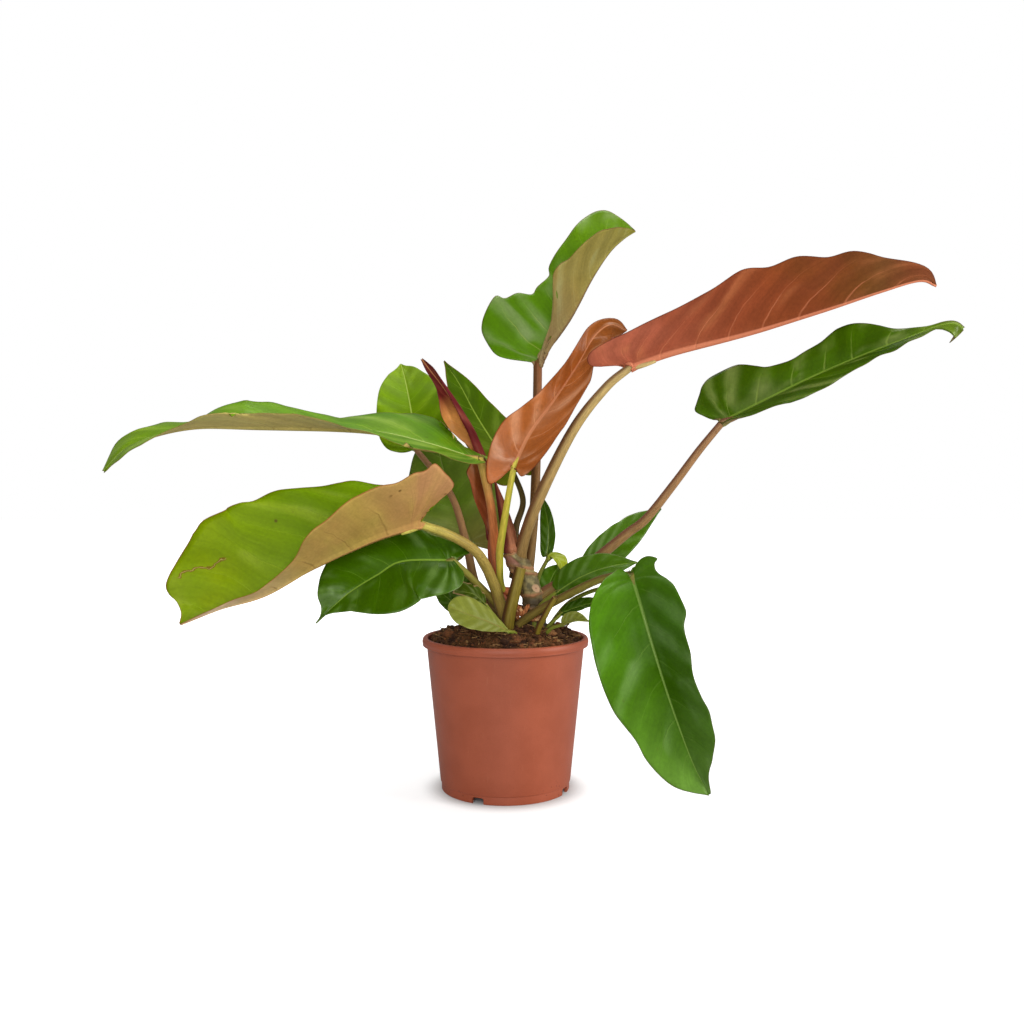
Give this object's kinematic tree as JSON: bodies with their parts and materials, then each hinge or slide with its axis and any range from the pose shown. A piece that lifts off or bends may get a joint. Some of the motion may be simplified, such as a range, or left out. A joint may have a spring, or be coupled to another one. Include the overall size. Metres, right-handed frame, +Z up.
{
  "type": "potted foliage plant",
  "caption": "Young philodendron with long-stalked glossy leaves, coppery orange to green, growing in potting mix in a round terracotta-coloured plastic nursery pot.",
  "frame": {"origin": "under the middle of the whole plant's bounding box, on the surface that the pot stands on", "axes": "+X to the side of the large coral leaf, along the plant's widest spread; +Y to the back; +Z up"},
  "size_m": [0.6624, 0.2458, 0.497],
  "materials": {
    "green_leaf": "waxy gloss, pale midrib and side veins, olive-tan below",
    "dark_leaf": "waxy gloss, deep green with a pale midrib",
    "lime_leaf": "waxy satin, yellow-green, tan below",
    "coral_leaf": "satin, coral brown below with salmon veins",
    "copper_leaf": "waxy gloss, coppery orange with pale veins",
    "red_leaf": "waxy gloss, dark red",
    "green_stalk": "smooth satin, yellow-green to olive",
    "brown_stalk": "smooth satin, reddish brown",
    "red_stalk": "smooth satin, red",
    "stem_bark": "matte, grey-green with tan rings and leaf scars",
    "potting_mix": "rough, crumbly dark brown",
    "pot_plastic": "satin moulded plastic, terracotta colour"
  },
  "bodies": {
    "root": {"pot": "pot_plastic", "soil": "potting_mix", "stem": "stem_bark", "cataphyll": "red_stalk", "cut_stub_left": "green_stalk", "cut_stub_right": "green_stalk", "top_leaf_blade": "green_leaf", "top_leaf_petiole": "brown_stalk", "coral_leaf_blade": "coral_leaf", "coral_leaf_petiole": "green_stalk", "copper_leaf_blade": "copper_leaf", "copper_leaf_petiole": "green_stalk", "right_leaf_blade": "green_leaf", "right_leaf_petiole": "brown_stalk", "far_left_leaf_blade": "green_leaf", "far_left_leaf_petiole": "red_stalk", "left_leaf_blade": "lime_leaf", "left_leaf_petiole": "green_stalk", "dark_left_leaf_blade": "dark_leaf", "dark_left_leaf_petiole": "green_stalk", "bright_back_leaf_blade": "lime_leaf", "bright_back_leaf_petiole": "brown_stalk", "centre_back_leaf_blade": "green_leaf", "centre_back_leaf_petiole": "brown_stalk", "dark_back_leaf_blade": "dark_leaf", "dark_back_leaf_petiole": "green_stalk", "new_red_leaf_blade": "red_leaf", "new_red_leaf_petiole": "red_stalk", "hanging_leaf_blade": "dark_leaf", "hanging_leaf_petiole": "green_stalk", "side_leaf_blade": "dark_leaf", "side_leaf_petiole": "green_stalk", "low_right_leaf_blade": "dark_leaf", "low_right_leaf_petiole": "green_stalk", "slim_leaf_blade": "dark_leaf", "slim_leaf_petiole": "green_stalk", "yellow_leaf_blade": "lime_leaf", "yellow_leaf_petiole": "green_stalk", "stem_side_leaf_blade": "dark_leaf", "stem_side_leaf_petiole": "green_stalk", "soil_right_leaf_blade": "dark_leaf", "soil_right_leaf_petiole": "green_stalk", "pale_right_leaf_blade": "lime_leaf", "pale_right_leaf_petiole": "green_stalk", "thin_stalk_leaf_blade": "dark_leaf", "thin_stalk_leaf_petiole": "green_stalk", "pale_front_leaf_blade": "lime_leaf", "pale_front_leaf_petiole": "green_stalk", "ragged_leaf_blade": "dark_leaf", "ragged_leaf_petiole": "green_stalk", "low_left_leaf_blade": "dark_leaf", "low_left_leaf_petiole": "green_stalk", "back_left_leaf_blade": "dark_leaf", "back_left_leaf_petiole": "green_stalk"}
  },
  "joints": []
}
